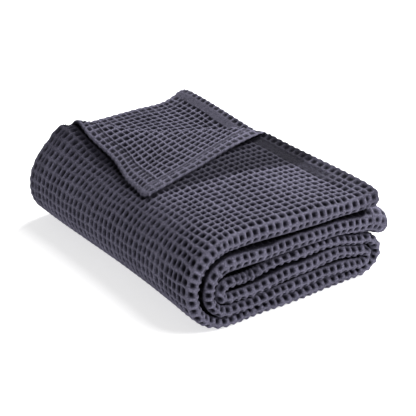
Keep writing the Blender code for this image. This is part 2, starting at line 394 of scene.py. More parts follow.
@dataclass
class Weave:
    """The waffle weave's relief on both sides of the cloth, in metres off the cloth's middle.

    Pairs such as `drawn_from` are where a soft step starts and ends, and pairs such as `nose` are a hill's
    middle and half width, all in cells. A nose is the round of the near fold.
    """

    face_ridge: float = 0.0035
    face_hollow: float = -0.0021
    back_ridge: float = 0.0031
    back_hollow: float = -0.0016
    nose_hollow: float = -0.0030
    nose_sink: float = 0.3
    rim: float = 0.0033
    hem_lift: float = 0.0006
    hem_soft: tuple = (0.2, 0.1)
    seam_depth: float = 0.0009
    seam_shade: float = 0.5

    crest_round: float = 0.16
    crest_power: float = 1.3
    crest_stand: float = 0.12
    crossing_sink: float = 0.8
    nose_power: float = 0.75
    drawn_power: float = 0.3
    drawn_narrow: float = 0.15
    drawn_lower: float = 0.25
    face_reach: float = 0.42
    nose_reach: float = 0.345
    back_reach: float = 0.32
    face_uneven: float = 0.05
    back_uneven: float = 0.04
    foot_share: tuple = (0.9, 0.2)
    deep_share: tuple = (0.84, 0.16)

    nose: tuple = (38.0, 4.5)
    nose_crest: tuple = (38.2, 4.0)
    fold_half: float = 4.0
    drawn_from: tuple = (19.0, 24.0)
    drawn_to: tuple = (35.0, 38.0)
    drawn_near: tuple = (31.0, 35.0)

    pleats: float = 0.34
    pleats_at: tuple = (80.5, 4.0)
    pleats_turn: float = 3.4 * math.pi
    stitches: float = 3.0
    stitch_dip: float = 0.3
    seam_half: float = 0.22
    seam_corner: tuple = (1.6, 2.6)
    stripe_soft: float = 0.12
    stripe_weave: float = 0.06
    edge_span: tuple = (0.16, 0.42)
    edge_shift: float = 0.25
    edge_shifted: tuple = (1.35, 1.95)
    rows_lower: float = 0.35
    rows_soft: float = 0.15
    rim_span: tuple = (0.20, 0.44)
    rim_wider: float = 0.22
    rim_round: float = 0.16
    rim_edge: float = 0.35
    rim_twist: float = 0.10
    rim_light: float = 0.85
    drawn_light: float = 0.26

    slow_stray: float = 0.13
    slow_scale: float = 1.3
    short_stray: float = 0.17
    stray_from: float = 4.0
    scallop: float = 0.11
    scallop_depth: float = 0.8
    corner_round: float = 0.36
    corner_reach: float = 1.8

    end_faint: tuple = (0.80, 28.0, 34.0)
    side_faint: tuple = (0.55, 13.0, 17.0)
    faint_span: tuple = (0.3, 0.5)
    # painted shade in the gaps between the near folds
    gap_span: tuple = (0.80, 1.30)
    gap_shade_depth: float = 0.97
    gap_reach: tuple = (12.0, 18.0)
    gaps_from: tuple = (62.5, 65.0)
    gaps_end: tuple = (14.0, 7.0)
    beneath_end: tuple = (4.5, 1.5)
    right_round: tuple = (104.0, 106.0, 109.0, 111.0)

    # the top's end stripe stands lower than the far end's, and its lower share also paints it darker as shade
    end_face: Hem = Hem(1.25, 2.65, 2.72, 0.50)
    last_face: Hem = Hem(1.25, 2.65, 2.72, 0.74)
    end_back: Hem = Hem(1.75, 2.30, 2.15, 0.76)
    end_back_under: Hem = Hem(1.15, 2.6, 2.7, 0.64)
    side_face: Hem = Hem(1.15, 2.1, 2.2, 0.58)
    side_back: Hem = Hem(2.05, 2.25, 2.25, 0.76)
    side_back_under: Hem = Hem(2.1, 2.4, 2.25, 0.64)

    def wander(self, u: Array, v: Array, u_end: float, v_end: float) -> tuple[Array, Array]:
        """How far each point of the cloth strays from its even place, in cells along u and v.

        Slow waves and short ones bend the rows, as in any soft cloth. They die out across a free edge, which
        strays only along itself. Between its ridges the edge is drawn in a little, by a cosine along it, and
        a corner is rounded by a soft step from both of its edges.

        Args:
            u: Cells along the length.
            v: Cells across the width.
            u_end: The cells at the far free end.
            v_end: The cells at the inner hem.

        Returns:
            The strays along u and along v.
        """
        u_edge, v_edge = np.minimum(u, u_end - u), np.minimum(v, v_end - v)
        slow_u, slow_v = u * self.slow_scale, v * self.slow_scale
        short_u, short_v = ripple(u * 3.7, v * 3.3, 2.13), ripple(v * 3.5, u * 3.1, 4.57)
        du = self.slow_stray * ripple(slow_u, slow_v, 0.37) + self.short_stray * short_u
        dv = self.slow_stray * ripple(slow_v, slow_u, 1.91) + self.short_stray * short_v
        reach, depth = self.corner_reach, self.scallop_depth
        rounded = self.corner_round * (1 - smooth(u_edge, 0.0, reach)) * (1 - smooth(v_edge, 0.0, reach))
        between_u, between_v = (0.5 - 0.5 * np.cos(2 * np.pi * w) for w in (u, v))
        drawn_u = rounded + self.scallop * between_v * (1 - smooth(u_edge, 0.0, depth))
        drawn_v = rounded + self.scallop * between_u * (1 - smooth(v_edge, 0.0, depth))
        du = du * smooth(u_edge, 0.0, self.stray_from) + np.where(u < u_end / 2, drawn_u, -drawn_u)
        dv = dv * smooth(v_edge, 0.0, self.stray_from) + np.where(v < v_end / 2, drawn_v, -drawn_v)
        return du, dv

    def drawn(self, u: Array, v: Array) -> Array:
        """How far the left round's pull has drawn the cells long, from 0 to 1: a product of soft steps."""
        along = smooth(u, *self.drawn_from) * (1 - smooth(u, *self.drawn_to))
        return along * (1 - smooth(v, *self.drawn_near))

    def reach(self, u: Array, v: Array, side: Side) -> Array:
        """Half width of a ridge's foot: narrower on the noses by a hill of v, and a little uneven all over.

        Args:
            u: Cells along the length.
            v: Cells across the width.
            side: The side that is looked at.

        Returns:
            The half width in cells.
        """
        if side is Side.BACK:
            return self.back_reach + self.back_uneven * ripple(u * 2.1, v * 2.3, 5.3)
        wide = self.face_reach + (self.nose_reach - self.face_reach) * hill(v, *self.nose)
        return wide + self.face_uneven * ripple(u * 2.1, v * 2.3, 5.3)

    def cord(self, t: Array, power: Array) -> Array:
        """Height of a ridge: (1 - t) to a power, past a crest rounded by the root of t^2 + crest_round^2.

        Args:
            t: Distance from the crest, 1 at the foot.
            power: The power; over 1 makes a narrow ridge, under 1 a full one.

        Returns:
            The height from 1 at the crest to 0 at the foot.
        """
        soft = np.sqrt(t * t + self.crest_round**2) - self.crest_round
        foot = math.hypot(1, self.crest_round) - self.crest_round
        return np.clip(1 - soft / foot, 0.0, 1.0) ** power

    def cells(self, u: Array, v: Array, side: Side) -> Array:
        """Height of the cells from 0, the bottom of a hollow, to 1, a ridge's top.

        Ridges run along whole numbers of u and v on the face, and half a cell away on the back, and next to
        the hems they shift so that whole cells meet them. Each falls from its rounded crest to its foot as a
        power of what is left of its reach. A hollow is a bowl where both have fallen, and no two hollows are
        quite as deep or as wide.

        Args:
            u: Cells along the length.
            v: Cells across the width.
            side: The side that is looked at.

        Returns:
            The height from 0 to 1.
        """
        shift, nudge = (0.5, self.edge_shift) if side is Side.BACK else (0.0, -self.edge_shift)
        a, b = (w + shift + nudge * (1 - smooth(w, *self.edge_shifted)) for w in (u, v))
        from_u = 0.5 - np.abs(a - np.floor(a) - 0.5)
        from_v = 0.5 - np.abs(b - np.floor(b) - 0.5)
        foot = self.reach(u, v, side)
        least, spread = self.foot_share
        foot_u = foot * (least + spread * chance(np.round(a), 0 * a, 1.3))
        foot_v = foot * (least + spread * chance(np.round(b), 0 * b, 2.9))
        drawn = self.drawn(u, v) if side is Side.FACE else 0.0
        power = self.crest_power
        if side is Side.FACE:
            power = power - self.nose_power * hill(v, *self.nose_crest) - self.drawn_power * drawn
        ridge_u = self.cord(from_u / (foot_u * (1 - self.drawn_narrow * drawn)), power)
        ridge_u = ridge_u * (1 - self.drawn_lower * drawn)
        ridge_v = self.cord(from_v / foot_v, power)
        hollow = (1 - ridge_u) * (1 - ridge_v)
        deep = self.deep_share[0] + self.deep_share[1] * chance(a, b, 0.7)
        stands = self.crest_stand * (ridge_u * (1 - ridge_v) - self.crossing_sink * ridge_u * ridge_v)
        return 1 - hollow * deep + stands

    def masks(self, w: Array, hem: Hem) -> tuple[Array, Array]:
        """How a hem changes the weave, w cells from the edge.

        Args:
            w: Cells from the edge.
            hem: The hem's lines.

        Returns:
            The share of the cells' relief that is left, and the seam's depth, both from 0 to 1.
        """
        soft = self.stripe_soft
        plain = smooth(w, hem.rows - soft, hem.rows + soft)
        plain = plain * (1 - smooth(w, hem.plain - soft, hem.plain + soft))
        edge = 1 - smooth(w, *self.edge_span)
        return (1 - plain) * (1 - edge), hill(w, hem.seam, self.seam_half)

    def hems(self, u: Array, v: Array, side: Side, u_end: float, v_end: float) -> tuple[tuple, ...]:
        """The four hems of one side.

        Args:
            u: Cells along the length.
            v: Cells across the width.
            side: The side.
            u_end: The cells at the far free end.
            v_end: The cells at the inner hem.

        Returns:
            For each hem: cells from its edge, cells along it, cells from the nearer corner, and its lines.
        """
        in_u, in_v = np.minimum(u, u_end - u), np.minimum(v, v_end - v)
        if side is Side.FACE:
            return ((u, v, in_v, self.end_face), (u_end - u, v, in_v, self.last_face),
                    (v, u, in_u, self.side_face), (v_end - v, u, in_u, self.side_face))
        return ((u, v, in_v, self.end_back), (u_end - u, v, in_v, self.end_back),
                (v, u, in_u, self.side_back), (v_end - v, u, in_u, self.side_back_under))

    def relief(
        self, u: Array, v: Array, side: Side, u_end: float, v_mid: float, v_end: float
    ) -> tuple[Array, Array]:
        """Height of one side off the cloth's middle, and how much it stands up from 0 to 1, less the painted
        shade in the gaps.

        The cells' height is crushed into pleats at one fold and flattened to a stripe in each hem. It is
        carried from the hollows' level to the ridges', and then come the seams, the doubled cloth of the hems
        and the corded rim.

        Args:
            u: Cells along the length.
            v: Cells across the width.
            side: The side that is looked at.
            u_end: The cells at the far free end.
            v_mid: The cells at the near fold.
            v_end: The cells at the inner hem.

        Returns:
            Height in metres, and the share from 0 to 1 that the colour follows, low where it paints the shade
            of the hollows and the gaps.
        """
        face = side is Side.FACE
        height = self.cells(u, v, side)
        ridge, hollow = (self.face_ridge, self.face_hollow) if face else (self.back_ridge, self.back_hollow)
        fold = hill(v, v_mid, self.fold_half)
        crushed = self.pleats * hill(u, *self.pleats_at) * fold if face else 0.0
        creases = 0.5 + 0.5 * np.cos(self.pleats_turn * u + 2.0 * ripple(u, v, 0.9))
        rise = height + (creases - height) * crushed
        seam, rim, doubled = np.zeros_like(rise), np.zeros_like(rise), np.zeros_like(rise)
        for w, along, from_corner, hem in self.hems(u, v, side, u_end, v_end):
            wide = self.end_face.seam
            doubled = np.maximum(doubled, 1 - smooth(w, wide - self.hem_soft[0], wide + self.hem_soft[1]))
            share, line = self.masks(w, hem)
            level = hem.level
            if hem is self.end_back:
                under = np.asarray(v) > v_mid
                share_under, line_under = self.masks(w, self.end_back_under)
                share, line = np.where(under, share_under, share), np.where(under, line_under, line)
                level = np.where(under, self.end_back_under.level, level)
            if face:
                most, start, end = self.end_faint if along is v else self.side_faint
                faint = most * smooth(along, start, end)
                share = share + (1 - share) * faint * smooth(w, *self.faint_span)
                line = line * (1 - faint)
            in_rows = 1 - smooth(w, hem.rows - self.rows_soft, hem.rows + self.rows_soft)
            share = share * (1 - self.rows_lower * in_rows)
            rise = rise * share + (1 - share) * (level + self.stripe_weave * height)
            stitches = 1 - self.stitch_dip + self.stitch_dip * np.cos(2 * np.pi * self.stitches * along)
            seam = np.maximum(seam, line * smooth(from_corner, *self.seam_corner) * stitches)
            wider = self.rim_wider if not face and w is v else 0.0
            rim = np.maximum(rim, 1 - smooth(w, self.rim_span[0] + wider, self.rim_span[1] + wider))
        if face:
            hollow = hollow + (self.nose_hollow - hollow) * fold
        top = ridge * (1 - self.nose_sink * hill(v, v_mid + 1.0, self.fold_half))
        out = hollow + (top - hollow) * rise
        out = out - seam * self.seam_depth + self.hem_lift * doubled
        nearest = np.minimum(np.minimum(u, u_end - u), np.minimum(v, v_end - v))
        left = 1 - np.clip(nearest, 0, self.rim_round) / self.rim_round
        round_off = np.sqrt(np.clip(1 - left**2, 0, 1))
        rope = self.rim * (self.rim_edge + (1 - self.rim_edge) * round_off)
        rope = rope * (1 + self.rim_twist * np.cos(2 * np.pi * (u + v)))
        out = out * (1 - rim) + rope * rim
        # colour share: a low share is painted as shade in the hollows, with more painted shade on the seams
        # and in the gaps and less on the cells drawn long
        stands = np.clip(rise * (1 - self.seam_shade * seam), 0, 1)
        stands = stands + (self.rim_light - stands) * rim
        if face:
            stands = stands + (1 - stands) * self.drawn_light * self.drawn(u, v)
        return out, stands * self.open(u, v, side, u_end, v_mid)

    def open(self, u: Array, v: Array, side: Side, u_end: float, v_mid: float) -> Array:
        """Painted shade in the gaps between the near folds: how open the cloth lies, from 1 down to almost 0
        deep in them.

        The gaps darken by a soft step with the cells past a nose's middle. They begin past the base, and
        leave out the outside of the right round, the end that stands out at the right and what lies far
        enough in to be seen from behind.

        Args:
            u: Cells along the length.
            v: Cells across the width.
            side: The side that is looked at.
            u_end: The cells at the far free end.
            v_mid: The cells at the near fold.

        Returns:
            The share from 0 to 1.
        """
        if side is Side.BACK:
            return np.ones_like(v)
        start, full, fading, end = self.right_round
        right_round = smooth(u, start, full) * (1 - smooth(u, fading, end))
        at_end = smooth(u, u_end - self.gaps_end[0], u_end - self.gaps_end[1])
        covered = smooth(u, *self.gaps_from) * (1 - right_round) * (1 - at_end)
        beneath = 1 - smooth(u, u_end - self.beneath_end[0], u_end - self.beneath_end[1])
        inside = np.maximum((v - v_mid) * beneath, (v_mid - v) * covered)
        showing = smooth(np.abs(v - v_mid), *self.gap_reach)
        return 1 - self.gap_shade_depth * smooth(inside, *self.gap_span) * (1 - showing)


@dataclass
class Cloth:
    """The whole folded cloth as a surface of cells (u, v).

    Lengths are in metres and pairs are where a soft step starts and ends, unless a comment says otherwise.
    """

    bands: Bands = field(default_factory=Bands)
    corner: TurnedCorner = field(default_factory=TurnedCorner)
    weave: Weave = field(default_factory=Weave)
    thick: float = 0.0044
    thinnest: float = 0.0007
    front: float = -0.286
    floor: float = 0.0002
    pitch_u: float = 0.0150
    pitch_v: float = 0.0148
    shoulder_rows: float = 0.36  # how much closer the rows lie on the shoulder, as a share
    shoulder_at: tuple = (1.08, 0.26)  # its station and half width
    gaps: tuple = (0.24, 0.38, 0.38)  # how a band's slack is shared by the gaps between its layers
    v_near: float = 38.0
    v_far: float = 76.0
    v_inner: float = 114.0
    v_end: float = 152.0
    first_run: float = 1.0  # the station where the top's run ends
    corner_end: float = 1.2  # the station up to which the corner's crease can turn the cloth
    near_bulge: float = 0.0008
    inner_back: float = 0.004
    uneven: float = 0.0022
    recess: float = 0.008
    recess_at: tuple = (4.72, 0.28)  # the third band's left end, by station and half width
    shade_ends: tuple = (1.02, 1.22)  # the stations where the turned corner's shade fades out
    pinch: float = 0.12
    pinch_length: float = 0.040
    pinch_whole: float = 2.9  # the station past which both halves of the stack are pinched alike
    corner_lift: float = 0.009
    corner_lift_x: tuple = (0.10, 0.19)
    corner_lift_y: tuple = (0.02, 0.25)
    curl: float = 0.0095
    curl_at: tuple = (0.0, 0.5, 1.15, 2.6, 4.5, 8.0, 11.0)  # cells from the free end
    curl_by: tuple = (0.0, -0.35, -0.72, -1.0, -0.78, -0.24, 0.0)  # the curl's height there, in curls
    curl_cells: tuple = (35.0, 41.0, 73.0, 79.0, 111.0, 117.0)
    curl_share: tuple = (1.0, 0.0, 0.0, 0.4, 0.4, 0.8)
    curl_y: tuple = (-0.28, -0.16)
    curl_near: float = 0.55  # the curl's share at the near end
    curl_far: tuple = (0.05, 0.17)
    curl_far_less: float = 0.6  # how much less the layer beneath curls there
    end_rise: float = 0.006
    end_rise_cells: float = 3.0
    end_rise_y: float = 0.24
    waist: float = 0.0075
    waist_at: tuple = (-0.09, 0.30)
    waist_from: tuple = (1.15, 1.5)
    waist_to: tuple = (2.0, 2.3)
    corner_in: float = 0.012
    corner_in_y: tuple = (0.20, 0.33)
    corner_in_to: tuple = (0.0, 0.5)
    slant: tuple = (-0.110, 0.198, 0.397)  # a point of the top's outer hem and its slope
    slant_in: float = 0.012
    slant_in_at: tuple = (0.015, 0.095)  # middle and half width
    slant_out: float = 0.004
    slant_out_at: tuple = (0.13, 0.198)
    inner_x: tuple = (-0.110, -0.050, 0.006, 0.057, 0.100, 0.130, 0.155, 0.178, 0.200)
    inner_y: tuple = (0.242, 0.2475, 0.252, 0.257, 0.259, 0.262, 0.270, 0.283, 0.298)
    ends: Array = field(default_factory=lambda: np.array([
        # station, near fold, outer hem, inner hem, far fold
        (0.0, 0.000, 0.318, 0.298, 0.276), (1.0, 0.001, 0.198, 0.242, 0.238),
        (1.5, 0.000, 0.223, 0.230, 0.236), (2.0, 0.003, 0.236, 0.228, 0.241),
        (3.5, 0.006, 0.232, 0.224, 0.238), (4.5, 0.005, 0.240, 0.233, 0.244),
        (5.5, 0.003, 0.234, 0.228, 0.240), (6.5, 0.003, 0.238, 0.229, 0.243),
        (7.5, 0.002, 0.233, 0.226, 0.238), (8.5, 0.002, 0.238, 0.232, 0.243),
        (9.5, 0.000, 0.232, 0.227, 0.238), (11.0, 0.002, 0.246, 0.238, 0.252),
    ]))

    def __post_init__(self) -> None:
        """Works out the tables that turn cells into stations, and the height of the top layer."""
        self.q_table = np.linspace(0, 11, 22001)
        x, z, half, nx, nz = self.bands.frame(self.q_table)
        closer = 1 + self.shoulder_rows * hill(self.q_table[1:], *self.shoulder_at)
        rows = np.hypot(np.diff(x), np.diff(z)) * closer
        self.u_table = np.concatenate([[0], np.cumsum(rows)]) / self.pitch_u
        self.u_end = float(self.u_table[-1])
        self.line = (self.q_table, x, z, half, nx, nz, *self.edges(self.q_table, x))
        px, pz, half, nx, nz = self.bands.frame(np.linspace(0, 1.5, 3000))
        top_x = px + nx * (half - self.thick / 2)
        top_z = pz + nz * (half - self.thick / 2)
        self.ground = (top_x[::-1], top_z[::-1])

    def u_at(self, q: float) -> float:
        """The cells along the length at station q."""
        return float(np.interp(q, self.q_table, self.u_table))

    def end_curl(self, u: Array, v: Array, y: Array) -> Array:
        """How far the free end on top stands over its band.

        Its hem curls up out of a shallow trough, a smooth curve of u that is strongest in the outer layer and
        weaker in each layer beneath. The edge also rises towards its near corner, by soft steps of u and y.

        Args:
            u: Cells along the length.
            v: Cells across the width, which tell the layer.
            y: Y of the points.

        Returns:
            The height at each point.
        """
        trough = hermite(u, np.array(self.curl_at), np.array(self.curl_by))
        layers = np.interp(v, self.curl_cells, self.curl_share)
        inner = smooth(v, self.v_inner, self.curl_cells[-1])
        layers = layers - self.curl_far_less * inner * smooth(y, *self.curl_far)
        outer = np.where(v < self.curl_cells[1], layers, 0.0)
        rise = self.end_rise * (1 - smooth(u, 0.0, self.end_rise_cells))
        rise = rise * smooth(-y, 0.0, self.end_rise_y) * outer
        across = self.curl_near + (1 - self.curl_near) * smooth(y, *self.curl_y)
        return self.curl * trough * layers * across + rise

    def draw_in(self, q: Array, y: Array, first: Array) -> Array:
        """How far the cloth is drawn in, as a shift along X.

        The left round is drawn in halfway along the fold, by a hill of y between soft steps of the station.
        The outer layer's corner at the free end is drawn in towards its hem's end.

        Args:
            q: Stations along the path.
            y: Y of the points.
            first: Where the outer layer is.

        Returns:
            The shift at each point.
        """
        waist = self.waist * hill(y, *self.waist_at) * smooth(q, *self.waist_from)
        waist = waist * (1 - smooth(q, *self.waist_to))
        corner = self.corner_in * smooth(y, *self.corner_in_y) * (1 - smooth(q, *self.corner_in_to))
        return waist - np.where(first, corner, 0.0)

    def along(self, u: Array) -> list[Array]:
        """What the path's tables hold at u cells along the length, in the order of `line`.

        Args:
            u: Cells along the length.

        Returns:
            Station, x, z, half thickness, normal x, normal z, near fold, outer hem, inner hem and far fold.
        """
        return [np.interp(u, self.u_table, values) for values in self.line]

    def edges(self, q: Array, x: Array) -> tuple[Array, Array, Array, Array]:
        """Where the sections end, as Y at the stations.

        They follow the table `ends` in a smooth curve. On the first run the outer hem slants instead, in a
        line with a slight hollow, and the inner hem goes straight from point to point.

        Args:
            q: Stations along the path.
            x: X of the path's middle line there.

        Returns:
            Near fold, outer hem, inner hem and far fold.
        """
        near, outer, inner, far = (hermite(q, self.ends[:, 0], self.ends[:, c]) for c in (1, 2, 3, 4))
        on_top = q <= self.first_run
        x0, y0, slope = self.slant
        slant = y0 + slope * (x - x0) - self.slant_in * hill(x, *self.slant_in_at)
        slant = slant + self.slant_out * smooth(x, *self.slant_out_at)
        outer = np.where(on_top, slant, outer)
        inner = np.where(on_top, np.interp(x, self.inner_x, self.inner_y), inner)
        return near, outer, inner, far

    def surface(self, u: Array, v: Array, lift: Array) -> Array:
        """Points of the cloth.

        Across the width the section is four straight layers joined by three half rounds: the outer layer from
        its hem to the near fold, back to the far fold, forward to the inner near fold and out to the inner
        hem. The section is carried along the stack's path, square to it, and pinched towards the near folds.

        Args:
            u: Cells along the length, (n, m).
            v: Cells across the width, (n, m).
            lift: Height off the cloth's middle towards its face, (n, m).

        Returns:
            Points (n, m, 3).
        """
        du, dv = self.weave.wander(u, v, self.u_end, self.v_end)
        v = v + dv
        q, x, z, half, nx, nz, near, outer, inner, far = self.along(u + du)
        near = near + self.uneven * ripple(1.6 * u, 0.0, 6.1) + self.recess * hill(q, *self.recess_at)
        slack = 2 * half - 4 * self.thick
        share = np.cumsum((0, *self.gaps))
        tops = [half - self.thick / 2 - k * self.thick - slack * share[k] for k in range(4)]
        near_r = tops[0] + self.near_bulge
        far_r, inner_r = (tops[2] - tops[3]) / 2, (tops[1] - tops[2]) / 2
        near_h, far_h, inner_h = (np.pi * np.abs(r) / 2 / self.pitch_v for r in (near_r, far_r, inner_r))
        y0 = self.front + near + self.thick / 2 + near_r
        y1 = y0 + self.inner_back

        def layer(v_a: Array, v_b: Array, y_a: Array, y_b: Array) -> Array:
            """Y on a straight layer that goes from (v_a, y_a) to (v_b, y_b)."""
            return y_a + (y_b - y_a) * (v - v_a) / (v_b - v_a)

        def round_at(
            v_m: float, h: Array, y_m: Array, reach: Array, a: Array, b: Array, side: float
        ) -> tuple[Array, Array, Array, Array]:
            """A half round from one level to the next: y stands off by a sine, the offset goes by a cosine.

            Args:
                v_m: The cells at its middle.
                h: Half its length in cells.
                y_m: Y at its ends.
                reach: How far its middle stands out along Y.
                a: The offset where it starts.
                b: The offset where it ends.
                side: 1 or -1, the way that the face points.

            Returns:
                Y, offset, and the normal's parts along Y and along the offset.
            """
            t = np.clip((v - (v_m - h)) / (2 * h), 0, 1) * np.pi
            y, off = y_m + reach * np.sin(t), (a + b) / 2 + (a - b) / 2 * np.cos(t)
            return y, off, np.sign(reach) * np.sin(t) * side, np.sign(a - b) * np.cos(t) * side

        straight = (
            (v < self.v_near - near_h, layer(0.0, self.v_near - near_h, outer, y0), tops[0], 1.0),
            ((v >= self.v_near + near_h) & (v < self.v_far - far_h),
             layer(self.v_near + near_h, self.v_far - far_h, y0, far), tops[3], -1.0),
            ((v >= self.v_far + far_h) & (v < self.v_inner - inner_h),
             layer(self.v_far + far_h, self.v_inner - inner_h, far, y1), tops[2], 1.0),
            (v >= self.v_inner + inner_h,
             layer(self.v_inner + inner_h, self.v_end, y1, inner), tops[1], -1.0),
        )
        turns = (
            (np.abs(v - self.v_near) <= near_h,
             round_at(self.v_near, near_h, y0, -near_r, tops[0], tops[3], 1.0)),
            (np.abs(v - self.v_far) <= far_h,
             round_at(self.v_far, far_h, far, far_r, tops[3], tops[2], 1.0)),
            (np.abs(v - self.v_inner) <= inner_h,
             round_at(self.v_inner, inner_h, y1, -inner_r, tops[2], tops[1], -1.0)),
        )
        y, off, ny, no = (np.zeros(lift.shape) for _ in range(4))
        for here, yy, level, side in straight:
            y, off = np.where(here, yy, y), np.where(here, level, off)
            no = np.where(here, side, no)
        for here, (yy, oo, nny, nno) in turns:
            y, off = np.where(here, yy, y), np.where(here, oo, off)
            ny, no = np.where(here, nny, ny), np.where(here, nno, no)
        first = v < self.v_near - near_h
        held = 1 - self.pinch * (1 - smooth(y, y0 - near_r, y0 + self.pinch_length))
        held = np.where(q > self.pinch_whole, held, np.where(off < 0, 0.5 + 0.5 * held, 1.0))
        y, off = y + ny * lift, off * held + no * lift
        off = off + np.where(first, self.corner.hump(q, x, y), 0.0) + self.end_curl(u + du, v, y)
        points = np.stack([x + nx * off + self.draw_in(q, y, first), y, z + nz * off], -1)
        turned = self.corner.turn(points, lift, self.ground)
        points = np.where((first & (q <= self.corner_end))[..., None], turned, points)
        beneath = (v > self.v_inner + inner_h) & (q <= self.first_run)
        rise = self.corner_lift * smooth(x, *self.corner_lift_x) * smooth(y, *self.corner_lift_y)
        points[..., 2] += np.where(beneath, rise, 0.0)
        points[..., 2] = np.maximum(points[..., 2], self.floor)
        return points - CENTRE

    def side(self, u: Array, v: Array, side: Side) -> tuple[Array, Array]:
        """One side of the cloth on the grid of u and v.

        The relief lifts it off the cloth's middle, and the back keeps `thinnest` away from the face. Shade is
        painted on the top beside the turned corner, fading out where it goes over into the left round.

        Args:
            u: The grid's lines along the length, in cells.
            v: Its lines across the width.
            side: The side.

        Returns:
            Its points (n, m, 3) and their colour share (n, m), which holds painted shade.
        """
        uu, vv = np.meshgrid(u, v, indexing="ij")
        ends = (self.u_end, self.v_near, self.v_end)
        lift, share = self.weave.relief(uu, vv, side, *ends)
        if side is Side.BACK:
            face, _ = self.weave.relief(uu, vv, Side.FACE, *ends)
            lift = np.maximum(lift, self.thinnest - face)
        points = self.surface(uu, vv, lift * side.value)
        # painted shade on the top close under the turned corner's two hems
        if side is Side.FACE:
            origin = np.zeros((1, 1))
            tip = (self.surface(origin, origin, origin) + CENTRE)[0, 0, :2]
            over = smooth(uu, self.u_at(self.shade_ends[0]), self.u_at(self.shade_ends[1]))
            top = (1 - over) * (vv < self.v_near)
            share = share * (1 - top + top * self.corner.shade(points + CENTRE, tip))
        return points, share


# Where a cell's grid lines lie, by how many it has: closest on the ridge and at its feet.
CELL_LINES = {
    8: (0.0, 0.11, 0.22, 0.34, 0.5, 0.66, 0.78, 0.89),
    7: (0.0, 0.12, 0.25, 0.40, 0.60, 0.75, 0.88),
    6: (0.0, 0.12, 0.27, 0.5, 0.73, 0.88),
    5: (0.0, 0.16, 0.36, 0.64, 0.84),
    4: (0.0, 0.2, 0.5, 0.8),
    3: (0.0, 0.3, 0.7),
    2: (0.0, 0.5),
    1: (0.0,),
}
RIM_LINES = (0.05, 0.11, 0.20)  # more lines beside the cloth's own edge, in cells from it
LINE_MARGIN = 0.04  # the least distance of a line from the end of its span, in cells


def grid_lines(start: float, end: float, spans: Sequence[tuple], side: Side, rims: Sequence[float]) -> Array:
    """Places of the grid's lines, in cells.

    In every cell a span puts its number of lines where the relief bends: at the ridge, its two feet and the
    middle of the hollow. The back's ridges lie half a cell away, so its lines shift by as much.

    Args:
        start: The first line.
        end: The last line.
        spans: (until, lines per cell) in order, the last one reaching the end.
        side: The side that the lines serve.
        rims: The places of the cloth's own edges, which get three more lines each.

    Returns:
        The lines' places, rising.
    """
    shift = 0.5 if side is Side.BACK else 0.0
    found, low = [], start
    for until, count in spans:
        cells = np.arange(np.floor(low) - 1, np.ceil(until) + 2)
        places = (cells[:, None] + np.array(CELL_LINES[count])[None, :] + shift).ravel()
        found.append(places[(places > low + LINE_MARGIN) & (places < until - LINE_MARGIN)])
        found.append(np.array([until]))
        low = until
    lines = np.concatenate([[start], *found])
    for rim in rims:
        near = rim + np.array(RIM_LINES) * (1 if rim < end - 1 else -1)
        lines = np.concatenate([lines, near[(near > start) & (near < end)]])
    lines = np.unique(np.round(lines, 5))
    return lines[np.concatenate([[True], np.diff(lines) > LINE_MARGIN / 2])]


def grid_faces(index: Array, flip: bool) -> Array:
    """Triangles of a grid of vertex numbers, two for each square.

    Args:
        index: The grid's vertex numbers (n, m).
        flip: Whether to turn them over.

    Returns:
        Triangles (k, 3).
    """
    a, b, c, d = index[:-1, :-1], index[1:, :-1], index[1:, 1:], index[:-1, 1:]
    quads = np.stack([a, b, c, d], -1).reshape(-1, 4)
    tris = np.concatenate([quads[:, [0, 1, 2]], quads[:, [0, 2, 3]]])
    return tris[:, ::-1] if flip else tris


def stitch(fine: Array, fine_at: Array, coarse: Array, coarse_at: Array) -> Array:
    """Triangles between two rows of vertices that run side by side, with as many or fewer on the second.

    Each edge of the first row goes to the vertex of the second that is nearest its middle, and each edge of
    the second row goes to the vertex of the first where that choice changes.

    Args:
        fine: Vertex numbers of the first row.
        fine_at: Their places along the row.
        coarse: Vertex numbers of the second row.
        coarse_at: Their places.

    Returns:
        Triangles (k, 3).
    """
    middle = (fine_at[:-1] + fine_at[1:]) / 2
    bounds = (coarse_at[:-1] + coarse_at[1:]) / 2
    apex = np.searchsorted(bounds, middle)
    first = np.stack([fine[:-1], fine[1:], coarse[apex]], -1)
    change = np.searchsorted(apex, np.arange(1, len(coarse)))
    second = np.stack([coarse[:-1], fine[change], coarse[1:]], -1)
    return np.concatenate([first, second])


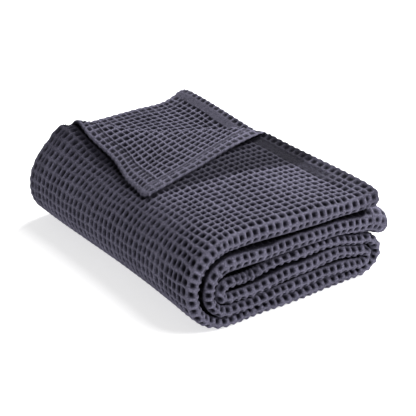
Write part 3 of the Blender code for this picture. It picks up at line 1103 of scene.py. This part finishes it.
@dataclass
class Panel:
    """A closed piece of the cloth between lines of the weave, fine on the side that shows.

    The spans say how many grid lines each cell gets on the face, as `grid_lines` takes them. `back_spans` are
    those of the back, along u and along v, which otherwise gets one line per cell.
    """

    name: str
    u_range: tuple
    v_range: tuple
    u_spans: Sequence[tuple]
    v_spans: Sequence[tuple]
    back_spans: Optional[tuple] = None

    def lines(self, cloth: Cloth, side: Side) -> tuple[Array, Array]:
        """The grid's lines on one side.

        Args:
            cloth: The cloth that the panel is part of.
            side: The side.

        Returns:
            The lines along u and along v, in cells.
        """
        rims_u = [r for r in (0.0, cloth.u_end) if self.u_range[0] <= r <= self.u_range[1]]
        rims_v = [r for r in (0.0, cloth.v_end) if self.v_range[0] <= r <= self.v_range[1]]
        plain = (((self.u_range[1], 1),), ((self.v_range[1], 1),))
        u_spans, v_spans = (self.u_spans, self.v_spans) if side is Side.FACE else self.back_spans or plain
        u_lines = grid_lines(*self.u_range, u_spans, side, rims_u)
        return u_lines, grid_lines(*self.v_range, v_spans, side, rims_v)

    def build(self, cloth: Cloth) -> bpy.types.Object:
        """Makes the panel's mesh: both sides as grids, joined all round by a rim.

        Args:
            cloth: The cloth that the panel is part of.

        Returns:
            The new object, at the origin.
        """
        points, shares, faces, maps, grids, normals = [], [], [], [], {}, []
        count = 0
        for side in Side:
            u, v = self.lines(cloth, side)
            at, share = cloth.side(u, v, side)
            index = np.arange(len(u) * len(v)).reshape(len(u), len(v)) + count
            count += index.size
            points.append(at.reshape(-1, 3))
            shares.append(share.ravel())
            cells = np.stack(np.meshgrid(u, v, indexing="ij"), -1).reshape(-1, 2)
            maps.append(cells + (0.5 if side is Side.BACK else 0.0))
            normals.append(self.normals(cloth, u, v, side).reshape(-1, 3))
            faces.append(grid_faces(index, side is Side.BACK))
            grids[side] = (u, v, index)
        u0, v0, a = grids[Side.FACE]
        u1, v1, b = grids[Side.BACK]
        for row_a, at_a, row_b, at_b, flip in (
            (a[0], v0, b[0], v1, False), (a[-1], v0, b[-1], v1, True),
            (a[:, 0], u0, b[:, 0], u1, True), (a[:, -1], u0, b[:, -1], u1, False),
        ):
            if len(row_a) >= len(row_b):
                tris = stitch(row_a, at_a, row_b, at_b)
            else:
                tris = stitch(row_b, at_b, row_a, at_a)[:, ::-1]
            faces.append(tris[:, ::-1] if flip else tris)
        points, faces = np.concatenate(points), np.concatenate(faces)
        mesh = bpy.data.meshes.new(self.name)
        mesh.from_pydata(points, [], faces)
        self.dress(mesh, np.concatenate(shares), np.concatenate(maps))
        mesh.normals_split_custom_set_from_vertices(np.concatenate(normals))
        made = bpy.data.objects.new(self.name, mesh)
        bpy.context.scene.collection.objects.link(made)
        return made

    def normals(self, cloth: Cloth, u: Array, v: Array, side: Side) -> Array:
        """Unit normals of one side: the cross product of the differences between neighbours.

        One more line lies past each edge, so that neighbouring panels get the same normals where they meet.
        Past the cloth's own end that line is carried on straight.

        Args:
            cloth: The cloth that the panel is part of.
            u: The grid's lines along the length, in cells.
            v: Its lines across the width.
            side: The side.

        Returns:
            The normals (n, m, 3).
        """
        step = 0.02
        uu = np.concatenate([[u[0] - step], u, [u[-1] + step]])
        vv = np.concatenate([[v[0] - step], v, [v[-1] + step]])
        uu = np.clip(uu, 0, cloth.u_end)
        at, _ = cloth.side(uu, vv, side)
        if uu[0] == uu[1]:
            at[0] = 2 * at[1] - at[2]
        if uu[-1] == uu[-2]:
            at[-1] = 2 * at[-2] - at[-3]
        du = at[2:, 1:-1] - at[:-2, 1:-1]
        dv = at[1:-1, 2:] - at[1:-1, :-2]
        n = np.cross(du, dv) * side.value
        return n / np.maximum(np.linalg.norm(n, axis=-1, keepdims=True), 1e-12)

    def dress(self, mesh: bpy.types.Mesh, share: Array, cells: Array) -> None:
        """Puts what the material reads on the mesh.

        Args:
            mesh: The panel's mesh.
            share: Each vertex's colour share, with painted shade, kept as the attribute `rise`.
            cells: Each vertex's place in cells (n, 2), kept as the UV map `cells`.
        """
        # `rise` carries the painted shade that the material turns into colour
        rise = mesh.attributes.new("rise", "FLOAT", "POINT")
        rise.data.foreach_set("value", share.astype(np.float32))
        layer = mesh.uv_layers.new(name="cells")
        corner = np.empty(len(mesh.loops), np.int32)
        mesh.loops.foreach_get("vertex_index", corner)
        layer.data.foreach_set("uv", cells[corner].astype(np.float32).ravel())
        mesh.shade_smooth()


@dataclass(frozen=True)
class CottonFinish:
    """Matt dark slate cotton: soft fuzzy yarn with shade painted near black into the hollows, and its threads
    as a fine bump.
    """

    # near black: painted shade in the hollows; the ridges' colour is the cotton's own
    hollow: tuple = (0.005, 0.0045, 0.009, 1.0)
    ridge: tuple = (0.181, 0.172, 0.241, 1.0)
    # the power on the share, which spreads the hollows' painted shade up the ridges' feet
    foot: float = 2.8
    roughness: float = 0.92
    sheen: float = 0.04
    sheen_roughness: float = 0.45
    sheen_tint: tuple = (0.80, 0.78, 0.90, 1.0)
    specular: float = 0.08
    threads: float = 12.0
    thread_height: float = 0.0004
    fuzz_height: float = 0.0003
    fuzz_scale: float = 900.0
    yarn_scale: float = 380.0
    patch_scale: float = 14.0
    patch_tones: tuple = (0.84, 1.16)
    fuzz_tones: tuple = (0.70, 1.30)
    thread_tones: tuple = (0.66, 1.16)
    yarn_tones: tuple = (0.62, 1.38)
    yarn_inset: float = 0.28

    def material(self) -> bpy.types.Material:
        """Builds the material.

        The colour goes from the hollows' near-black painted shade to the ridges' own colour by a power of the
        share, which also holds the painted shade of the gaps and beside the turned corner. It then varies
        slowly over the cloth and finely from thread to thread and fibre to fibre. The bump is threads and
        fuzz: on a ridge the threads run along it, and between ridges both sets show.

        Returns:
            The material.
        """
        made = bpy.data.materials.new("slate_cotton")
        made.use_nodes = True
        tree = made.node_tree
        tree.nodes.clear()

        def node(kind: str, **values: object) -> bpy.types.Node:
            """Makes a node.

            Args:
                kind: Its type.
                **values: Values for the inputs of those names, or else for its own settings.

            Returns:
                The node.
            """
            new = tree.nodes.new(kind)
            for key, value in values.items():
                if key in new.inputs:
                    new.inputs[key].default_value = value
                else:
                    setattr(new, key, value)
            return new

        def maths(operation: str, *parts: object) -> bpy.types.NodeSocket:
            """Makes a Math node.

            Args:
                operation: What it works out.
                *parts: Its inputs in order, sockets or numbers.

            Returns:
                The socket with its result.
            """
            new = tree.nodes.new("ShaderNodeMath")
            new.operation = operation
            for place, part in zip(new.inputs, parts):
                if isinstance(part, bpy.types.NodeSocket):
                    tree.links.new(part, place)
                else:
                    place.default_value = part
            return new.outputs["Value"]

        def spread(
            value: bpy.types.NodeSocket, low: float, high: float, inset: float = 0.0
        ) -> bpy.types.NodeSocket:
            """Carries a value from between inset and 1 less inset to between low and high, by a smooth step.

            Args:
                value: The socket with the value.
                low: What the least value becomes.
                high: What the greatest value becomes.
                inset: How far the ends that are cut off lie from 0 and 1.

            Returns:
                The socket with the result.
            """
            new = node("ShaderNodeMapRange", interpolation_type="SMOOTHSTEP",
                       **{"From Min": inset, "From Max": 1.0 - inset, "To Min": low, "To Max": high})
            tree.links.new(value, new.inputs["Value"])
            return new.outputs["Result"]

        link = tree.links.new
        place = node("ShaderNodeTexCoord").outputs["Object"]
        patches = node("ShaderNodeTexNoise", Scale=self.patch_scale, Detail=3.0, Roughness=0.6)
        fuzz = node("ShaderNodeTexNoise", Scale=self.fuzz_scale, Detail=2.0, Roughness=0.7)
        yarn = node("ShaderNodeTexNoise", Scale=self.yarn_scale, Detail=2.0, Roughness=0.6)
        link(place, patches.inputs["Vector"])
        link(place, yarn.inputs["Vector"])
        link(place, fuzz.inputs["Vector"])

        cells = node("ShaderNodeSeparateXYZ")
        link(node("ShaderNodeUVMap", uv_map="cells").outputs["UV"], cells.inputs["Vector"])
        along = [cells.outputs[axis] for axis in ("X", "Y")]
        turn = math.pi * self.threads
        cords = [maths("ABSOLUTE", maths("SINE", maths("MULTIPLY", a, turn))) for a in along]
        apart = [maths("PINGPONG", a, 0.5) for a in along]
        which = spread(maths("MULTIPLY_ADD", maths("SUBTRACT", apart[1], apart[0]), 2.5, 0.5), 0.0, 1.0)
        on_ridge = maths("ADD", maths("MULTIPLY", cords[0], which),
                         maths("MULTIPLY", cords[1], maths("SUBTRACT", 1.0, which)))
        threads = maths("MULTIPLY", on_ridge, maths("MULTIPLY_ADD", maths("MULTIPLY", *cords), 0.4, 0.6))

        # the share `rise` mixes the hollows' painted shade with the ridges' colour
        rise = maths("POWER", node("ShaderNodeAttribute", attribute_name="rise").outputs["Fac"], self.foot)
        colour = node("ShaderNodeMix", data_type="RGBA")
        colour.inputs[6].default_value, colour.inputs[7].default_value = self.hollow, self.ridge
        link(rise, colour.inputs[0])
        shade = spread(patches.outputs["Fac"], *self.patch_tones)
        shade = maths("MULTIPLY", shade, spread(fuzz.outputs["Fac"], *self.fuzz_tones))
        shade = maths("MULTIPLY", shade, spread(threads, *self.thread_tones))
        shade = maths("MULTIPLY", shade, spread(yarn.outputs["Fac"], *self.yarn_tones, self.yarn_inset))
        tone = node("ShaderNodeVectorMath", operation="SCALE")
        link(colour.outputs[2], tone.inputs[0])
        link(shade, tone.inputs["Scale"])

        woven = node("ShaderNodeBump", Distance=self.thread_height)
        fuzzy = node("ShaderNodeBump", Distance=self.fuzz_height)
        link(threads, woven.inputs["Height"])
        link(fuzz.outputs["Fac"], fuzzy.inputs["Height"])
        link(woven.outputs["Normal"], fuzzy.inputs["Normal"])

        shader = node("ShaderNodeBsdfPrincipled", **{
            "Roughness": self.roughness, "Metallic": 0.0, "Specular IOR Level": self.specular,
            "Sheen Weight": self.sheen, "Sheen Roughness": self.sheen_roughness,
            "Sheen Tint": self.sheen_tint,
        })
        link(tone.outputs["Vector"], shader.inputs["Base Color"])
        link(fuzzy.outputs["Normal"], shader.inputs["Normal"])
        link(shader.outputs["BSDF"], node("ShaderNodeOutputMaterial").inputs["Surface"])
        return made


@dataclass
class Blanket:
    """The folded blanket: the cloth's panels, dressed.

    Panels meet `margin` cells past the near fold, and along the length at the stations `cuts`: on the left
    round, at its foot and at the end of the right round.
    """

    cloth: Cloth = field(default_factory=Cloth)
    finish: CottonFinish = field(default_factory=CottonFinish)
    margin: float = 3.0
    cuts: tuple = (1.22, 2.0, 4.0)

    def panels(self) -> list[Panel]:
        """The panels that the cloth is made in, the finest where the cloth shows.

        Returns:
            The panels, which together cover the whole cloth once.
        """
        c, m = self.cloth, self.margin
        cut, base, third = (round(c.u_at(q)) for q in self.cuts)
        near, far, inner, hem, left = c.v_near, c.v_far, c.v_inner, c.v_end, c.u_end
        far_fine = ((far - 4, 1), (far + 4, 4), (inner - 3, 1))
        return [
            Panel(
                "cloth_top_layer", (0.0, cut), (0.0, near + m),
                u_spans=((cut, 7),), v_spans=((near + m, 8),),
                back_spans=(((cut, 7),), ((20.0, 7), (near + m, 1))),
            ),
            Panel(
                "cloth_left_round", (cut, base), (0.0, near + m),
                u_spans=((base, 7),), v_spans=((near + m, 7),),
            ),
            Panel(
                "cloth_base", (base, third), (0.0, near + m),
                u_spans=((third, 7),), v_spans=((3.0, 4), (near - m, 3), (near + m, 7)),
            ),
            Panel(
                "cloth_near_folds", (third, left), (near - m, near + m),
                u_spans=((left, 8),), v_spans=((near + m, 8),),
            ),
            Panel(
                "cloth_inner_layers", (third, left), (0.0, near - m),
                u_spans=((104.0, 2), (111.0, 6), (left - 4, 2), (left, 4)), v_spans=((near - m, 4),),
                back_spans=(((left, 2),), ((3.0, 4), (near - m, 1))),
            ),
            Panel(
                "cloth_corner_beneath", (0.0, cut), (inner + 2, hem),
                u_spans=((cut, 1),), v_spans=((hem, 1),),
                back_spans=(((cut, 7),), ((hem, 7),)),
            ),
            Panel(
                "cloth_top_band_inside", (0.0, cut), (near + m, inner + 2),
                u_spans=((2.0, 6), (cut, 3)), v_spans=((far - 4, 1), (far + 4, 5), (inner + 2, 2)),
            ),
            Panel(
                "cloth_far_folds", (cut, left), (near + m, inner - 3),
                u_spans=((left - 6, 2), (left, 6)), v_spans=((far - 4, 3), (inner - 3, 1)),
                back_spans=(((left, 4),), far_fine),
            ),
            Panel(
                "cloth_inner_hems", (cut, left), (inner - 3, hem),
                u_spans=((left, 4),), v_spans=((hem - 3, 1), (hem, 4)),
            ),
        ]

    def build(self) -> list[bpy.types.Object]:
        """Makes every panel, dresses it and hangs it on the root body.

        All of them stand in place of the plain solid, which is hidden.

        Returns:
            The panels' objects.
        """
        cotton = self.finish.material()
        made = []
        for panel in self.panels():
            piece = panel.build(self.cloth)
            piece.data.materials.append(cotton)
            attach(piece, "root")
            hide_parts("blanket")
            made.append(piece)
        return made


@dataclass
class Studio:
    """The plain pale floor, the soft studio light and the camera at the photo's angle.

    The camera's angles are in degrees: its heading from +Y towards +X, its tilt downwards and its roll. The
    target is a point of the fold's layout and the place of that point in the frame, in pixels.
    """

    heading: float = 36.46
    tilt: float = 26.75
    roll: float = 1.2
    focal_px: float = 1317.7
    distance: float = 2.41
    target: tuple = (0.0, 0.0, 0.013)
    target_px: tuple = (186.4, 235.8)
    frame_px: float = 416.0
    sensor_mm: float = 36.0
    clip: tuple = (0.1, 30.0)
    floor_reach: float = 12.0
    floor_tone: float = 0.80
    floor_glow: float = 0.66
    floor_roughness: float = 0.9
    sky: float = 0.23
    aim: tuple = (0.0, 0.0, 0.05)

    def camera(self) -> None:
        """The camera: it looks along its heading and tilt, with the target at its place in the frame."""
        h, e, r = (math.radians(a) for a in (self.heading, self.tilt, self.roll))
        forward = np.array((math.sin(h) * math.cos(e), math.cos(h) * math.cos(e), -math.sin(e)))
        right = np.array((math.cos(h), -math.sin(h), 0.0))
        up = np.cross(right, forward)
        right, up = right * math.cos(r) + up * math.sin(r), up * math.cos(r) - right * math.sin(r)
        middle = self.frame_px / 2
        to_target = (forward + right * (self.target_px[0] - middle) / self.focal_px
                     - up * (self.target_px[1] - middle) / self.focal_px)
        data = bpy.data.cameras.new("camera")
        data.sensor_width = self.sensor_mm
        data.lens = self.focal_px / self.frame_px * data.sensor_width
        data.clip_start, data.clip_end = self.clip
        camera = bpy.data.objects.new("camera", data)
        place = np.array(self.target) - CENTRE - to_target * self.distance
        self.stand(camera, place, right, up, -forward)
        bpy.context.scene.camera = camera

    def stand(self, thing: bpy.types.Object, place: Array, right: Array, up: Array, back: Array) -> None:
        """Puts a camera or lamp in the scene.

        Args:
            thing: The camera or lamp.
            place: Where it stands.
            right: The way that its own X points.
            up: The way that its own Y points.
            back: The way that its own Z points, away from what it faces.
        """
        turn = np.eye(4)
        turn[:3, :3] = np.stack([right, up, back], 1)
        turn[:3, 3] = place
        thing.matrix_world = Matrix(turn.tolist())
        bpy.context.scene.collection.objects.link(thing)

    def light(self, name: str, place: tuple, size: float, power: float) -> None:
        """Sets a square soft white light that faces the blanket.

        Args:
            name: Its name.
            place: Where it stands.
            size: Its side in metres.
            power: Its power in watts.
        """
        data = bpy.data.lights.new(name, "AREA")
        data.shape, data.size, data.energy = "SQUARE", size, power
        lamp = bpy.data.objects.new(name, data)
        back = np.array(place, float) - np.array(self.aim, float)
        back /= np.linalg.norm(back)
        side = np.cross((0.0, 0.0, 1.0), back)
        side /= np.linalg.norm(side)
        self.stand(lamp, place, side, np.cross(back, side), back)

    def floor(self) -> None:
        """A wide flat pale floor just under the blanket."""
        mesh = bpy.data.meshes.new("floor")
        reach = self.floor_reach
        corners = [(x * reach, y * reach, 0.0) for x, y in ((-1, -1), (1, -1), (1, 1), (-1, 1))]
        mesh.from_pydata(corners, [], [(0, 1, 2, 3)])
        white = bpy.data.materials.new("floor_white")
        white.use_nodes = True
        shader = white.node_tree.nodes["Principled BSDF"]
        shader.inputs["Base Color"].default_value = (*[self.floor_tone] * 3, 1.0)
        shader.inputs["Emission Color"].default_value = (1.0, 1.0, 1.0, 1.0)
        shader.inputs["Emission Strength"].default_value = self.floor_glow
        shader.inputs["Roughness"].default_value = self.floor_roughness
        shader.inputs["Specular IOR Level"].default_value = 0.0
        mesh.materials.append(white)
        made = bpy.data.objects.new("floor", mesh)
        bpy.context.scene.collection.objects.link(made)

    def build(self) -> None:
        """Sets the floor, the lights, the world and the camera."""
        self.floor()
        world = bpy.data.worlds.new("studio")
        world.use_nodes = True
        background = world.node_tree.nodes["Background"]
        background.inputs["Color"].default_value = (1.0, 1.0, 1.0, 1.0)
        background.inputs["Strength"].default_value = self.sky
        bpy.context.scene.world = world
        self.light("key", (2.35, 0.75, 1.75), size=1.2, power=142.0)
        self.light("fill", (0.5, -1.9, 2.3), size=0.9, power=55.0)
        self.camera()
        bpy.context.scene.view_settings.view_transform = "Standard"


def main() -> None:
    """Builds the blanket and the studio, and reports how many panels and triangles it made."""
    logging.basicConfig(level=logging.INFO, format="%(name)s: %(message)s")
    Studio().build()
    pieces = Blanket().build()
    log.info("%d panels, %d triangles", len(pieces), sum(len(p.data.polygons) for p in pieces))


if __name__ == "__main__":
    main()
